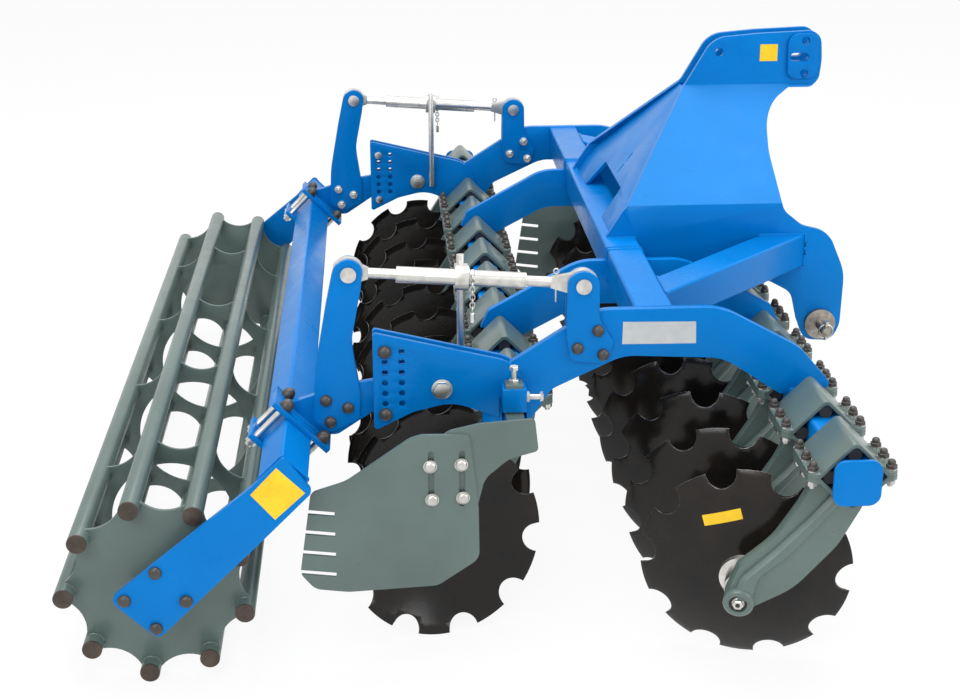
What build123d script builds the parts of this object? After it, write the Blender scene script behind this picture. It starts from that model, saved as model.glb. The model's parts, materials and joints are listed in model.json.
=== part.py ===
from build123d import *
from math import atan2, cos, degrees, hypot, radians, sin, sqrt
import os

# A mounted compact disc harrow with a cage roller.
# X points forward, Y to the machine's left, Z up, in millimetres, with the floor at Z = 0.

# Rows of discs
PITCH = 270.0
ARMS_PER_ROW = 10
ARMS_OUTBOARD = 2
BEAM = 80.0
BEAM_WALL = 8.0
BEAM_X = 380.0
BEAM_Z = 615.0
BEAM_OVERHANG = 112.0
CAP_SIZE = 114.0
CAP_THICK = 10.0

# Saddle clamps round the beams, with rubber rods between
SADDLE_WIDTH = 178.0
SADDLE_WALL = 9.0
ROD_GAP = 0.3
FLANGE_THICK = 12.0
FLANGE_REACH = 107.0
FLANGE_CORNER = 14.0

# Discs and their hubs
DISC_DIA = 540.0
DISC_THICK = 6.0
DISH_RADIUS = 600.0
NOTCHES = 10
NOTCH_RADIUS = 40.0
NOTCH_OFFSET = -2.0
FIRST_TURN = -2.6
TURN_STEP = 11.3
DISC_ANGLE = 17.0
DISC_TILT = 6.0
DISC_TRAIL = 185.0
DISC_FOOT_STEP = 0.75 * PITCH
HUB_FLANGE_DIA = 118.0
HUB_FLANGE_THICK = 12.0
HUB_DIA = 84.0
HUB_LENGTH = 48.0
HUB_GAP = 5.0
BOSS_DIA = 76.0
BOSS_LENGTH = 65.0
BOSS_RECESS = 46.0
BOSS_RECESS_DEEP = 7.0
AXLE_DIA = 30.0
AXLE_CLEARANCE = 0.05
ARM_THICK = 30.0
ARM_RIB_THICK = 66.0
ARM_RIB_EDGE = 10.0
ARM_PLANE = 22.0

# Frame plates
SIDE_Y = 1080.0
INNER_Y = 540.0
PLATE = 25.0
CROSS_SIZE = 100.0
CROSS_X = -20.0
CROSS_Z = 830.0
CROSS_WALL = 8.0

# Mast and hitch
MAST_PLATE = 15.0
MAST_LOW_Y = 420.0
MAST_TOP_Y = 39.0
MAST_BEND_LOW = 970.0
MAST_BEND_TOP = 1246.0
CHEEK_THICK = 10.0
LINK_PIN_DIA = 25.5
LINK_X = 592.0
LINK_Z = 1332.0
LINK_STEP = 50.0
WINDOW_LOW = 206.0
WINDOW_HIGH = 170.0
WINDOW_TOP = 962.0
BACK_SLOTS = 2
BACK_SLOT_STEP = 36.0
BACK_SLOT_Y = -30.0
BACK_SLOT_LENGTH = 9.0
BACK_SLOT_HIGH = 26.0
BRACE_SIZE = 100.0
BRACE_WALL = 8.0
LOWER_PIN_X = 590.0
LOWER_PIN_Z = 602.0
LOWER_PIN_DIA = 28.0
LOWER_PIN_LENGTH = 78.0
LOWER_FLANGE_DIA = 92.0
LOWER_FLANGE_THICK = 12.0
LINCH_HOLE = 12.0
LINCH_FROM_END = 14.0

# Roller
PIVOT = (-567.0, 683.0)
PIVOT_DIA = 30.0
PIN_CLEARANCE = 0.05
PIVOT_PLATE = 12.0
PIVOT_WASHER = 4.0
PIVOT_WASHER_DIA = 54.0
PIVOT_BOLT_HEAD = 14.0
STOP_DIA = 16.0
STOP_HEAD = 9.0
STOP_HEAD_DIA = 26.0
STOP_X = -712.0
STOP_HOLES = 7
SECOND_X = -669.0
SECOND_HOLES = 6
STOP_TOP = 787.0
STOP_STEP = 28.3
SIDE_GAP = 2.0
TUBES = 9
TUBE_DIA = 50.0
TUBE_CIRCLE = 458.0
TUBE_LENGTH = 2680.0
ROLLER_X = -1295.0
ROLLER_TURN = -7.0
TUBE_WALL = 5.0
TUBE_CAP = 5.0
ROLLER_SHAFT_DIA = 50.0
END_PLATE_THICK = 10.0
END_PLATE_INSET = 40.0
RING_THICK = 8.0
RINGS = 4
RING_HOLE = 330.0
SEAT_LIP = 2.0
HOLLOW_OFFSET = 67.0
HOLLOW_RADIUS = 90.0
ROLLER_PLATE = 15.0
ROLLER_PLATE_GAP = 34.0
BEARING_DIA = 130.0
CROSS_TUBE = 90.0
CROSS_TUBE_WALL = 8.0
CROSS_TUBE_AT = (-965.0, 562.0)
CLAMP_PLATE = 14.0
CLAMP_LENGTH = 190.0
CLAMP_WIDTH = 120.0
CLAMP_ROD_DIA = 18.0
CLAMP_NUT = 31.0
CLAMP_NUT_HIGH = 14.0
CLAMP_ROD_END = 22.0

# Spindles that hold the roller's height
LEVER_PIN = (-798.0, 993.0)
BRACKET_PIN = (-207.0, 950.0)
LEVER_PLATE = 12.0
SPINDLE_PIN_DIA = 24.0
PIN_HEAD = 8.0
PIN_HEAD_DIA = 40.0
SPINDLE_EYE_DIA = 80.0
SPINDLE_EYE_THICK = 19.0
LEVER_EYE_CLEARANCE = 5.0
SPINDLE_TUBE_DIA = 42.0
SPINDLE_ROD_DIA = 27.0
SPINDLE_ROD_GAP = 0.3
FRONT_NECK = 82.0
REAR_NECK = 50.0
STUD_IN_TUBE = 8.0
RATCHET_DIA = 64.0
RATCHET_WIDTH = 34.0
HANDLE_AT = 308.0
HANDLE_SIDE = 52.0
HANDLE_DIA = 20.0
HANDLE_LENGTH = 345.0
HANDLE_ABOVE = 45.0

# Side deflectors
DEFLECTOR_THICK = 8.0
DEFLECTOR_Y = 1300.0
STEM = 45.0
STEM_WALL_GAP = 0.3
STEM_X = -385.0
SOCKET_WALL = 8.0
SOCKET_Z = 668.0
SOCKET_HEIGHT = 62.0
STEM_TOP = 707.0
STEM_LENGTH = 115.0
WEB_HEIGHT = 40.0
EDGE_SLOTS = 4
EDGE_SLOT = 12.0
EDGE_SLOT_LENGTH = 80.0
EDGE_SLOT_STEP = 56.0
EDGE_SLOT_X = -925.0
EDGE_SLOT_Z = 274.0
EDGE_SLOT_LEAN = 7.0
DEFLECTOR_SLOTS_X = (-604.0, -527.0)
DEFLECTOR_SLOT = 15.0
DEFLECTOR_SLOT_LENGTH = 150.0
DEFLECTOR_SLOT_Z = 520.0

BEAM_TOP = BEAM_Z + BEAM / 2
CROSS_TOP = CROSS_Z + CROSS_SIZE / 2
DISC_RADIUS = DISC_DIA / 2
ROLLER_Z = TUBE_CIRCLE / 2 * cos(radians(ROLLER_TURN)) + TUBE_DIA / 2
SIDE_OUTER = SIDE_Y + PLATE / 2
PIVOT_PLATE_Y = SIDE_Y + PLATE / 2 + PIVOT_PLATE / 2
ARM_OUTBOARD = SIDE_Y + (ARMS_OUTBOARD - 0.5) * PITCH
BEAM_OUT = ARM_OUTBOARD + BEAM_OVERHANG


def outline(*corners):
    """A closed face in the XZ plane from corners given as x, z and radius."""
    points = [(x, z) for x, z, r in corners]
    radii = [r for x, z, r in corners]
    return Plane.XZ * make_face(FilletPolyline(*points, radius=radii, close=True).edges())


def slab(face, middle, thick):
    """The face made into a plate that is centred on Y = middle."""
    return Pos(0, middle, 0) * extrude(face, amount=thick / 2, both=True)


def disc_face(x, z, diameter):
    return Plane.XZ * Pos(x, z) * Circle(diameter / 2)


def pin(x, z, y0, y1, diameter):
    """A round bar along Y from y0 to y1."""
    return slab(disc_face(x, z, diameter), (y0 + y1) / 2, abs(y1 - y0))


def across(solid):
    """The solid's mirror image across the machine's middle plane."""
    return mirror(solid, about=Plane.XZ)


def both_sides(solid):
    """The solid and its mirror image across the machine's middle plane."""
    return [solid, across(solid)]


def largest(solid):
    return max(solid.solids(), key=lambda s: s.volume)


def headed_pin(x, z, low, high, diameter, head, head_diameter):
    """A pin from low to high along Y, with a round head of the same thickness past each end."""
    solid = pin(x, z, low - head, high + head, diameter)
    solid += pin(x, z, high, high + head, head_diameter)
    return solid + pin(x, z, low - head, low, head_diameter)


def hex_bolt(x, z, low, high, diameter, washer, washer_diameter, head):
    """A headed pin whose heads are washers, with a hexagon on each of them."""
    solid = headed_pin(x, z, low, high, diameter, washer, washer_diameter)
    hexagon = Plane.XZ * Pos(x, z) * RegularPolygon(0.42 * washer_diameter, 6)
    for y in (low - washer - head / 2, high + washer + head / 2):
        solid += slab(hexagon, y, head)
    return solid


parts = {}


def add(name, solids):
    """Keep a list of solids under a node's name."""
    parts.setdefault(name, [])
    parts[name] += [s for item in solids for s in item.solids()]


# Beams with their end caps
def square_tube(size, wall, length):
    """A square tube along Y, centred."""
    hollow = size - 2 * wall
    section = RectangleRounded(size, size, wall) - RectangleRounded(hollow, hollow, wall / 2)
    return extrude(Plane.XZ * section, amount=length / 2, both=True)


def beam_solid(x, near, far):
    return Pos(x, (near + far) / 2, BEAM_Z) * square_tube(BEAM, BEAM_WALL, far - near)


def beam_core(x):
    """The room that a beam takes out of the plates it runs through."""
    return Pos(x, 0, BEAM_Z) * Box(BEAM, 2 * BEAM_OUT, BEAM)


front_beam = beam_solid(BEAM_X, -BEAM_OUT, SIDE_OUTER)
rear_beam = beam_solid(-BEAM_X, -SIDE_OUTER, BEAM_OUT)
add("beams", [front_beam, rear_beam])


def beam_cap(x, y, side):
    face = Plane.XZ * Pos(x, BEAM_Z) * RectangleRounded(CAP_SIZE, CAP_SIZE, CAP_SIZE / 4)
    return slab(face, y + side * CAP_THICK / 2, CAP_THICK)


add("beam_caps", [beam_cap(BEAM_X, -BEAM_OUT, -1), beam_cap(-BEAM_X, BEAM_OUT, 1)])


# Saddle clamps: two bent plates that meet at the beam's middle height
OUTER_APOTHEM = BEAM / sqrt(2) + SADDLE_WALL


def saddle_half(side):
    """The upper or lower bent plate round the origin, with its flanges."""
    outer = OUTER_APOTHEM * sqrt(2)
    inner = (OUTER_APOTHEM - SADDLE_WALL) * sqrt(2)
    bend = SADDLE_WALL * 1.8
    lip = FLANGE_THICK
    face = outline(
        (0, side * outer, bend),
        (-(outer - lip), side * lip, 3),
        (-FLANGE_REACH, side * lip, 0),
        (-FLANGE_REACH, 0, 0),
        (-inner, 0, 0),
        (0, side * inner, bend - SADDLE_WALL / 2),
        (inner, 0, 0),
        (FLANGE_REACH, 0, 0),
        (FLANGE_REACH, side * lip, 0),
        (outer - lip, side * lip, 3),
    )
    plate = slab(face, 0, SADDLE_WIDTH)
    corners = plate.edges().filter_by(Axis.Z).filter_by(lambda e: abs(e.center().X) > FLANGE_REACH - 1)
    return chamfer(corners, FLANGE_CORNER)


ROD_POCKET = OUTER_APOTHEM - SADDLE_WALL
ROD_RADIUS = (ROD_POCKET - BEAM / 2 / sqrt(2)) / (1 + 1 / sqrt(2)) - ROD_GAP
ROD_CENTRE = BEAM / 2 + ROD_RADIUS + ROD_GAP / 2
rod = extrude(Plane.XZ * Circle(ROD_RADIUS), amount=SADDLE_WIDTH / 2 - 6, both=True)


def disc_place():
    """Where a front disc's rim middle is seen from its arm's clamp, with Z along the hub to the arm."""
    angle, tilt = radians(DISC_ANGLE), radians(DISC_TILT)
    direction = Vector(-sin(angle) * cos(tilt), -cos(angle) * cos(tilt), -sin(tilt))
    rise = DISC_RADIUS * cos(tilt) - BEAM_Z
    side = DISC_FOOT_STEP - DISC_RADIUS * sin(tilt)
    return Plane(origin=(-DISC_TRAIL, side, rise), x_dir=(0, 0, -1), z_dir=direction)


hub_plane = disc_place()
DISH_DEPTH = DISH_RADIUS - sqrt(DISH_RADIUS ** 2 - DISC_RADIUS ** 2)
BOSS_START = DISH_DEPTH + HUB_FLANGE_THICK + HUB_LENGTH + HUB_GAP
AXLE_REACH = HUB_GAP + HUB_LENGTH * 0.8


BOSS_MIDDLE = hub_plane.origin + hub_plane.z_dir * (BOSS_START + BOSS_LENGTH / 2)


def arm_solid():
    """A forged arm for a front disc, from the lower saddle to its boss, round the beam's middle."""
    boss_x, boss_z = BOSS_MIDDLE.X, BOSS_MIDDLE.Z
    web = outline(
        (-62, -40, 0),
        (-98, -112, 100),
        (-156, -204, 200),
        (boss_x - 6, boss_z + 92, 30),
        (boss_x - 34, boss_z + 16, 0),
        (boss_x - 10, boss_z - 34, 0),
        (boss_x + 26, boss_z - 24, 0),
        (-102, boss_z + 26, 180),
        (2, boss_z + 142, 160),
        (56, -118, 60),
        (68, -40, 0),
    )
    rib = outline(
        (-22, -80, 0),
        (-70, -136, 120),
        (-152, -222, 160),
        (boss_x - 6, boss_z + 62, 40),
        (boss_x - 20, boss_z, 0),
        (boss_x + 24, boss_z - 10, 0),
        (-190, boss_z + 62, 60),
        (-124, -250, 160),
        (-44, -160, 120),
        (6, -92, 0),
    )
    rib_solid = slab(rib, ARM_PLANE, ARM_RIB_THICK)
    rims = [edge for face in rib_solid.faces().filter_by(Axis.Y) for edge in face.edges()]
    rib_solid = chamfer(rims, ARM_RIB_EDGE)
    solid = slab(web, ARM_PLANE, ARM_THICK) + rib_solid
    room = 2 * (OUTER_APOTHEM - SADDLE_WALL / 2)
    solid -= Box(room, 4 * PITCH, room, rotation=(0, 45, 0))
    hub_room = Pos(0, 0, BOSS_START - BOSS_LENGTH) * Cylinder(HUB_DIA / 2 + HUB_GAP, 2 * BOSS_LENGTH)
    return solid - hub_plane.location * hub_room


def boss_solid():
    """The arm's boss and the axle that the hub turns on, drawn along the hub's line."""
    boss = Pos(0, 0, BOSS_START + BOSS_LENGTH / 2) * Cylinder(BOSS_DIA / 2, BOSS_LENGTH)
    boss = chamfer(boss.edges().group_by(Axis.Z)[-1], 5)
    boss -= Pos(0, 0, BOSS_START + BOSS_LENGTH) * Cylinder(BOSS_RECESS / 2, 2 * BOSS_RECESS_DEEP)
    axle = Pos(0, 0, BOSS_START - AXLE_REACH / 2) * Cylinder(AXLE_DIA / 2, AXLE_REACH)
    return boss + axle


def disc_solid():
    """A notched dished disc with its hub, its rim in the plane Z = 0, the hub towards +Z."""
    centre = DISH_DEPTH - DISH_RADIUS
    profile = (
        Circle(DISH_RADIUS)
        - Circle(DISH_RADIUS - DISC_THICK)
    )
    profile = Pos(0, centre) * profile
    profile &= Pos(DISC_RADIUS / 2, DISH_DEPTH / 2) * Rectangle(DISC_RADIUS, DISH_DEPTH + 1)
    dish = revolve(Plane.XZ * profile, Axis.Z)
    for k in range(NOTCHES):
        angle = (k + 0.5) * 360 / NOTCHES
        cutter = Cylinder(NOTCH_RADIUS, 4 * DISH_DEPTH)
        dish -= Rot(0, 0, angle) * Pos(DISC_RADIUS + NOTCH_OFFSET, 0, 0) * cutter
    seat = DISH_DEPTH - 2.0
    top = DISH_DEPTH + HUB_FLANGE_THICK
    hub = Pos(0, 0, (seat + top) / 2 - 1) * Cylinder(HUB_FLANGE_DIA / 2, top - seat + 2)
    hub += Pos(0, 0, top + HUB_LENGTH / 2) * Cylinder(HUB_DIA / 2, HUB_LENGTH)
    bore = AXLE_REACH - HUB_GAP + 3
    hub -= Pos(0, 0, top + HUB_LENGTH - bore / 2) * Cylinder(AXLE_DIA / 2 + AXLE_CLEARANCE, bore)
    return dish + hub


upper_saddle = saddle_half(1)
lower_saddle = saddle_half(-1)
boss = hub_plane.location * boss_solid()
arm = lower_saddle + arm_solid() + boss
disc = disc_solid()

for index in range(ARMS_PER_ROW):
    y = -ARM_OUTBOARD + index * PITCH
    place = Pos(BEAM_X, y, BEAM_Z)
    # The rear row's pieces are mirror images, so that its discs throw the soil the other way.
    rear = Pos(-BEAM_X, -y, BEAM_Z)
    add("arms", [place * arm, rear * across(arm)])
    add("saddles", [place * upper_saddle, rear * across(upper_saddle)])
    rods = [Rot(0, 90 * k, 0) * Pos(0, 0, ROD_CENTRE) * rod for k in range(4)]
    add("rubber_rods", [place * r for r in rods] + [rear * r for r in rods])
    turn = FIRST_TURN + index * TURN_STEP
    turned = hub_plane.location * Rot(0, 0, turn) * disc
    add(f"disc_front_{index + 1:02d}", [place * turned])
    add(f"disc_rear_{index + 1:02d}", [rear * across(turned)])


# Frame plates that carry the beams
def side_outline():
    return outline(
        (-462, 700, 30),
        (-175, 882, 150),
        (150, 882, 170),
        (360, 768, 120),
        (BEAM_X + 62, 672, 12),
        (BEAM_X + 58, BEAM_TOP, 0),
        (BEAM_X - BEAM / 2, BEAM_TOP, 0),
        (BEAM_X - BEAM / 2 - 22, BEAM_TOP - 16, 12),
        (160, 745, 130),
        (-100, 758, 130),
        (-285, 670, 50),
        (-340, 585, 20),
        (-340, 545, 10),
        (-462, 545, 20),
    )


def inner_outline():
    return outline(
        (-BEAM_X - 52, BEAM_TOP, 0),
        (-BEAM_X - 30, 705, 20),
        (-150, 848, 160),
        (150, 848, 160),
        (BEAM_X + 30, 705, 20),
        (BEAM_X + 52, BEAM_TOP, 0),
        (BEAM_X - BEAM / 2, BEAM_TOP, 0),
        (BEAM_X - BEAM / 2 - 20, BEAM_TOP - 30, 10),
        (140, 720, 120),
        (-140, 720, 120),
        (-BEAM_X + BEAM / 2 + 20, BEAM_TOP - 30, 10),
        (-BEAM_X + BEAM / 2, BEAM_TOP, 0),
    )


cross_room = Pos(CROSS_X, 0, CROSS_Z) * Box(CROSS_SIZE, 2 * SIDE_Y, CROSS_SIZE)
beam_room = beam_core(-BEAM_X)
side_plate = slab(side_outline(), SIDE_Y, PLATE) - beam_room
add("side_plates", both_sides(side_plate))
inner_plate = slab(inner_outline(), INNER_Y, PLATE) - cross_room
add("inner_plates", both_sides(inner_plate))
cross_length = 2 * (SIDE_Y - PLATE / 2)
add("cross_beam", [Pos(CROSS_X, 0, CROSS_Z) * square_tube(CROSS_SIZE, CROSS_WALL, cross_length)])


# Mast: two plates bent twice, a back plate, braces and the top link's cheeks
def mast_strip(offset_out, offset_in):
    """Half of the mast's section in the YZ plane, from one offset to another off its middle line."""
    def line(off):
        slope = (MAST_LOW_Y - MAST_TOP_Y) / (MAST_BEND_TOP - MAST_BEND_LOW)
        lean = atan2(slope, 1)
        shift = off / cos(lean)
        tan_half = (1 - cos(lean)) / sin(lean)
        rise = off * tan_half
        return [
            (MAST_LOW_Y + off, 400),
            (MAST_LOW_Y + off, MAST_BEND_LOW + rise),
            (MAST_TOP_Y + off, MAST_BEND_TOP + rise),
            (MAST_TOP_Y + off, 1700),
        ]
    points = line(offset_out) + list(reversed(line(offset_in)))
    return Plane.YZ * make_face(Polyline(*points, close=True).edges())


def mast_outline():
    top = LINK_Z + LINK_STEP
    return outline(
        (-58, CROSS_TOP, 0),
        (-12, MAST_BEND_LOW - 15, 60),
        (232, 1258, 60),
        (310, 1392, 80),
        (450, 1404, 300),
        (640, top + 30, 40),
        (LINK_X + 56, LINK_Z - 10, 200),
        (LINK_X + 48, MAST_BEND_TOP - 5, 40),
        (545, MAST_BEND_TOP - 5, 10),
        (462, 1195, 120),
        (446, 1090, 160),
        (458, 955, 60),
        (520, 905, 60),
        (600, 885, 80),
        (655, 760, 150),
        (LOWER_PIN_X + 62, LOWER_PIN_Z - 5, 80),
        (LOWER_PIN_X + 40, LOWER_PIN_Z - 55, 40),
        (LOWER_PIN_X - 45, LOWER_PIN_Z - 50, 40),
        (LOWER_PIN_X - 70, LOWER_PIN_Z + 15, 30),
        (500, 700, 60),
        (430, 738, 50),
        (CROSS_X + CROSS_SIZE / 2, 775, 0),
        (CROSS_X + CROSS_SIZE / 2, CROSS_TOP, 0),
    )


strip = extrude(mast_strip(MAST_PLATE / 2, -MAST_PLATE / 2), amount=900, both=True)
silhouette = extrude(mast_outline(), amount=900, both=True)
mast = strip & silhouette


def link_holes(y0, y1):
    """The top link's two holes and the slot between them."""
    cut = pin(LINK_X, LINK_Z + LINK_STEP, y0, y1, LINK_PIN_DIA)
    cut += pin(LINK_X, LINK_Z - LINK_STEP, y0, y1, LINK_PIN_DIA)
    slot = Plane.XZ * Pos(LINK_X - 16, LINK_Z) * SlotOverall(32 + LINK_PIN_DIA, LINK_PIN_DIA)
    return cut + slab(slot, (y0 + y1) / 2, abs(y1 - y0))


lifting_hole = pin(330, 1348, 0, 200, 26)
mast -= link_holes(0, 200) + lifting_hole
mast -= pin(LOWER_PIN_X, LOWER_PIN_Z, MAST_LOW_Y - 50, MAST_LOW_Y + 50, LOWER_PIN_DIA)
add("mast_plates", both_sides(mast))

cheek_face = outline(
    (LINK_X - 50, LINK_Z - 66, 25),
    (LINK_X - 54, LINK_Z + 70, 35),
    (LINK_X + 42, LINK_Z + 74, 30),
    (LINK_X + 44, LINK_Z - 64, 30),
)
cheek_y = MAST_TOP_Y + MAST_PLATE / 2 + CHEEK_THICK / 2
cheek = slab(cheek_face, cheek_y, CHEEK_THICK) - link_holes(0, 200)
add("top_link_cheeks", both_sides(cheek))

half_room = extrude(mast_strip(-MAST_PLATE / 2, -MAST_PLATE / 2 - 1500), amount=900, both=True)
inside = half_room & Pos(0, 500, 1000) * Box(3000, 1000, 1400)
inside += across(inside)
back_face = outline(
    (-42, CROSS_TOP, 0),
    (10, MAST_BEND_LOW - 20, 60),
    (224, 1240, 0),
    (236, 1236, 0),
    (22, MAST_BEND_LOW - 24, 60),
    (-30, CROSS_TOP, 0),
)
window = Plane.YZ * make_face(
    Polyline(
        (-WINDOW_LOW, CROSS_TOP - 20),
        (-WINDOW_HIGH, WINDOW_TOP),
        (WINDOW_HIGH, WINDOW_TOP),
        (WINDOW_LOW, CROSS_TOP - 20),
        close=True,
    ).edges()
)
back = (slab(back_face, 0, 2000) & inside) - extrude(window, amount=300, both=True)
for k in range(BACK_SLOTS):
    z = WINDOW_TOP + BACK_SLOT_STEP * (k + 0.7)
    back -= Pos(0, BACK_SLOT_Y, z) * Box(400, BACK_SLOT_LENGTH, BACK_SLOT_HIGH)
add("mast_back_plate", [largest(back)])


def brace_solid():
    start = Vector(CROSS_X + CROSS_SIZE / 2, -880, CROSS_Z)
    end = Vector(462, -MAST_LOW_Y - MAST_PLATE / 2, CROSS_Z)
    run = (end - start).length + 2 * BRACE_SIZE
    angle = degrees(atan2(end.X - start.X, end.Y - start.Y))
    tube = Rot(0, 0, -angle) * square_tube(BRACE_SIZE, BRACE_WALL, run)
    middle = (start + end) * 0.5
    tube = Pos(middle.X, middle.Y, middle.Z) * tube
    room = Box(2 * run, 2 * run, 4 * BRACE_SIZE)
    return tube & Pos(start.X + run, end.Y - run, CROSS_Z) * room


inner_room = slab(inner_outline(), -INNER_Y, PLATE)
brace = brace_solid() - inner_room
add("mast_braces", [largest(b) for b in both_sides(brace)])


def lower_pin():
    y = MAST_LOW_Y + MAST_PLATE / 2
    flange = pin(LOWER_PIN_X, LOWER_PIN_Z, y, y + LOWER_FLANGE_THICK, LOWER_FLANGE_DIA)
    end = y + LOWER_FLANGE_THICK + LOWER_PIN_LENGTH
    bar = pin(LOWER_PIN_X, LOWER_PIN_Z, y - MAST_PLATE, end, LOWER_PIN_DIA)
    linch_hole = Cylinder(LINCH_HOLE / 2, 2 * LOWER_PIN_DIA)
    hole = Pos(LOWER_PIN_X, end - LINCH_FROM_END, LOWER_PIN_Z) * linch_hole
    return flange + bar - hole


add("lower_hitch_pins", both_sides(lower_pin()))


# Pivot plates either side of each side plate, with pivot and stop bolts
def pivot_outline():
    return outline(
        (-742, 838, 8),
        (-372, 748, 90),
        (-338, 640, 40),
        (-345, 600, 20),
        (-430, 604, 40),
        (-540, 646, 120),
        (-640, 622, 60),
        (-742, 572, 8),
    )


STOP_HEIGHTS = (STOP_TOP, STOP_TOP - (STOP_HOLES - 1) * STOP_STEP)


def hole_columns(y):
    cut = []
    for x, rows in ((STOP_X, STOP_HOLES), (SECOND_X, SECOND_HOLES)):
        for row in range(rows):
            cut.append(pin(x, STOP_TOP - STOP_STEP * row, y - PIVOT_PLATE, y + PIVOT_PLATE, STOP_DIA))
    return cut


pivot_face = pivot_outline()
for side in (1, -1):
    for y in (side * (SIDE_Y + PLATE / 2 + PIVOT_PLATE / 2), side * (SIDE_Y - PLATE / 2 - PIVOT_PLATE / 2)):
        plate = slab(pivot_face, y, PIVOT_PLATE) - beam_room
        plate -= pin(*PIVOT, y - PIVOT_PLATE, y + PIVOT_PLATE, PIVOT_DIA)
        for cutter in hole_columns(y):
            plate -= cutter
        add("pivot_plates", [largest(plate)])
    half = PLATE / 2 + PIVOT_PLATE
    low, high = side * SIDE_Y - half, side * SIDE_Y + half
    bolt = hex_bolt(*PIVOT, low, high, PIVOT_DIA, PIVOT_WASHER, PIVOT_WASHER_DIA, PIVOT_BOLT_HEAD)
    add("pivot_bolts", [bolt])
    for z in STOP_HEIGHTS:
        add("stop_bolts", [headed_pin(STOP_X, z, low, high, STOP_DIA, STOP_HEAD, STOP_HEAD_DIA)])


# Brackets for the front ends of the spindles
def bracket_outline():
    x, z = BRACKET_PIN
    return outline(
        (x - 40, z + 18, 30),
        (x, z + 46, 40),
        (x + 40, z + 18, 30),
        (x + 42, z - 90, 60),
        (x + 80, z - 150, 20),
        (x + 60, z - 208, 15),
        (x - 30, z - 200, 20),
        (x - 42, z - 130, 40),
    )


for side in (1, -1):
    for y in (SIDE_Y + PLATE / 2 + LEVER_PLATE / 2, SIDE_Y - PLATE / 2 - LEVER_PLATE / 2):
        bracket = slab(bracket_outline(), side * y, LEVER_PLATE)
        bracket -= pin(*BRACKET_PIN, side * y - 20, side * y + 20, SPINDLE_PIN_DIA)
        add("spindle_brackets", [bracket])
    reach = PLATE / 2 + LEVER_PLATE
    low, high = side * SIDE_Y - reach, side * SIDE_Y + reach
    add("bracket_pins", [headed_pin(*BRACKET_PIN, low, high, SPINDLE_PIN_DIA, PIN_HEAD, PIN_HEAD_DIA)])

# Deflectors at the outer discs, near rear and far front
SOCKET_OUTER = STEM + 2 * SOCKET_WALL + 2 * STEM_WALL_GAP
STEM_Y = SIDE_OUTER + PIVOT_PLATE + SOCKET_OUTER / 2


def socket_solid():
    """The square socket for a deflector's stem, on the machine's left."""
    hollow = STEM + 2 * STEM_WALL_GAP
    socket = Box(SOCKET_OUTER, SOCKET_OUTER, SOCKET_HEIGHT) - Box(hollow, hollow, 2 * SOCKET_HEIGHT)
    return Pos(STEM_X, STEM_Y, SOCKET_Z) * socket


def deflector_solid():
    """The deflector's plate, its bracket with adjusting slots, its stem and the web between them."""
    face = outline(
        (-903, 492, 25),
        (-815, 520, 100),
        (-655, 632, 60),
        (-625, 640, 20),
        (-508, 637, 14),
        (-486, 440, 100),
        (-484, 298, 40),
        (-590, 226, 40),
        (-816, 215, 150),
        (-900, 226, 40),
        (-936, 270, 30),
    )
    plate = slab(face, DEFLECTOR_Y, DEFLECTOR_THICK)
    for k in range(EDGE_SLOTS):
        cut = Box(2 * EDGE_SLOT_LENGTH, 3 * DEFLECTOR_THICK, EDGE_SLOT)
        at_edge = Pos(EDGE_SLOT_X, DEFLECTOR_Y, EDGE_SLOT_Z + EDGE_SLOT_STEP * k)
        plate -= at_edge * Rot(0, EDGE_SLOT_LEAN, 0) * cut
    bracket_y = DEFLECTOR_Y - DEFLECTOR_THICK
    bracket_face = outline(
        (-640, 575, 20),
        (-560, 645, 40),
        (-486, 662, 100),
        (-346, 672, 12),
        (-336, 586, 12),
        (-410, 566, 60),
        (-470, 515, 60),
        (-492, 425, 20),
        (-640, 425, 20),
    )
    bracket = slab(bracket_face, bracket_y, DEFLECTOR_THICK)
    stem = Pos(STEM_X, STEM_Y, STEM_TOP - STEM_LENGTH / 2) * Box(STEM, STEM, STEM_LENGTH)
    web_y = (STEM_Y + bracket_y) / 2
    web_z = STEM_TOP - STEM_LENGTH + WEB_HEIGHT / 2
    web = Pos(STEM_X, web_y, web_z) * Box(STEM, bracket_y - STEM_Y, WEB_HEIGHT)
    for x in DEFLECTOR_SLOTS_X:
        slot = Rot(0, 0, 90) * SlotOverall(DEFLECTOR_SLOT_LENGTH, DEFLECTOR_SLOT)
        plate -= slab(Plane.XZ * Pos(x, DEFLECTOR_SLOT_Z) * slot, DEFLECTOR_Y, DEFLECTOR_THICK)
    return plate + bracket + stem + web


# The rear one is on the right side, the front one on the left and a row's distance further forward.
row_step = Pos(2 * BEAM_X, 0, 0)
socket = socket_solid()
deflector = deflector_solid()
# A pad fills the room that the pivot plate fills behind the rear socket.
pad = Pos(STEM_X, SIDE_OUTER + PIVOT_PLATE / 2, SOCKET_Z) * Box(SOCKET_OUTER, PIVOT_PLATE, SOCKET_HEIGHT)
add("deflector_sockets", [across(socket), row_step * (socket + pad)])
add("deflectors", [across(deflector), row_step * deflector])


# Roller frame: arms, levers, cross tube with its clamps, side plates
def roller_arm_outline():
    px, pz = PIVOT
    tx, tz = CROSS_TUBE_AT
    reach = CROSS_TUBE / 2 + CLAMP_PLATE
    off = reach / sqrt(2)
    return outline(
        (px + 44, pz + 44, 40),
        (px - 30, pz + 46, 40),
        (px - 150, pz + 26, 60),
        (px - 250, pz + 10, 60),
        (tx + off - 42, tz + off + 42, 0),
        (tx + off + 42, tz + off - 42, 0),
        (px - 270, pz - 124, 30),
        (px - 150, pz - 44, 60),
        (px - 30, pz - 44, 40),
        (px + 44, pz - 40, 40),
    )


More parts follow.
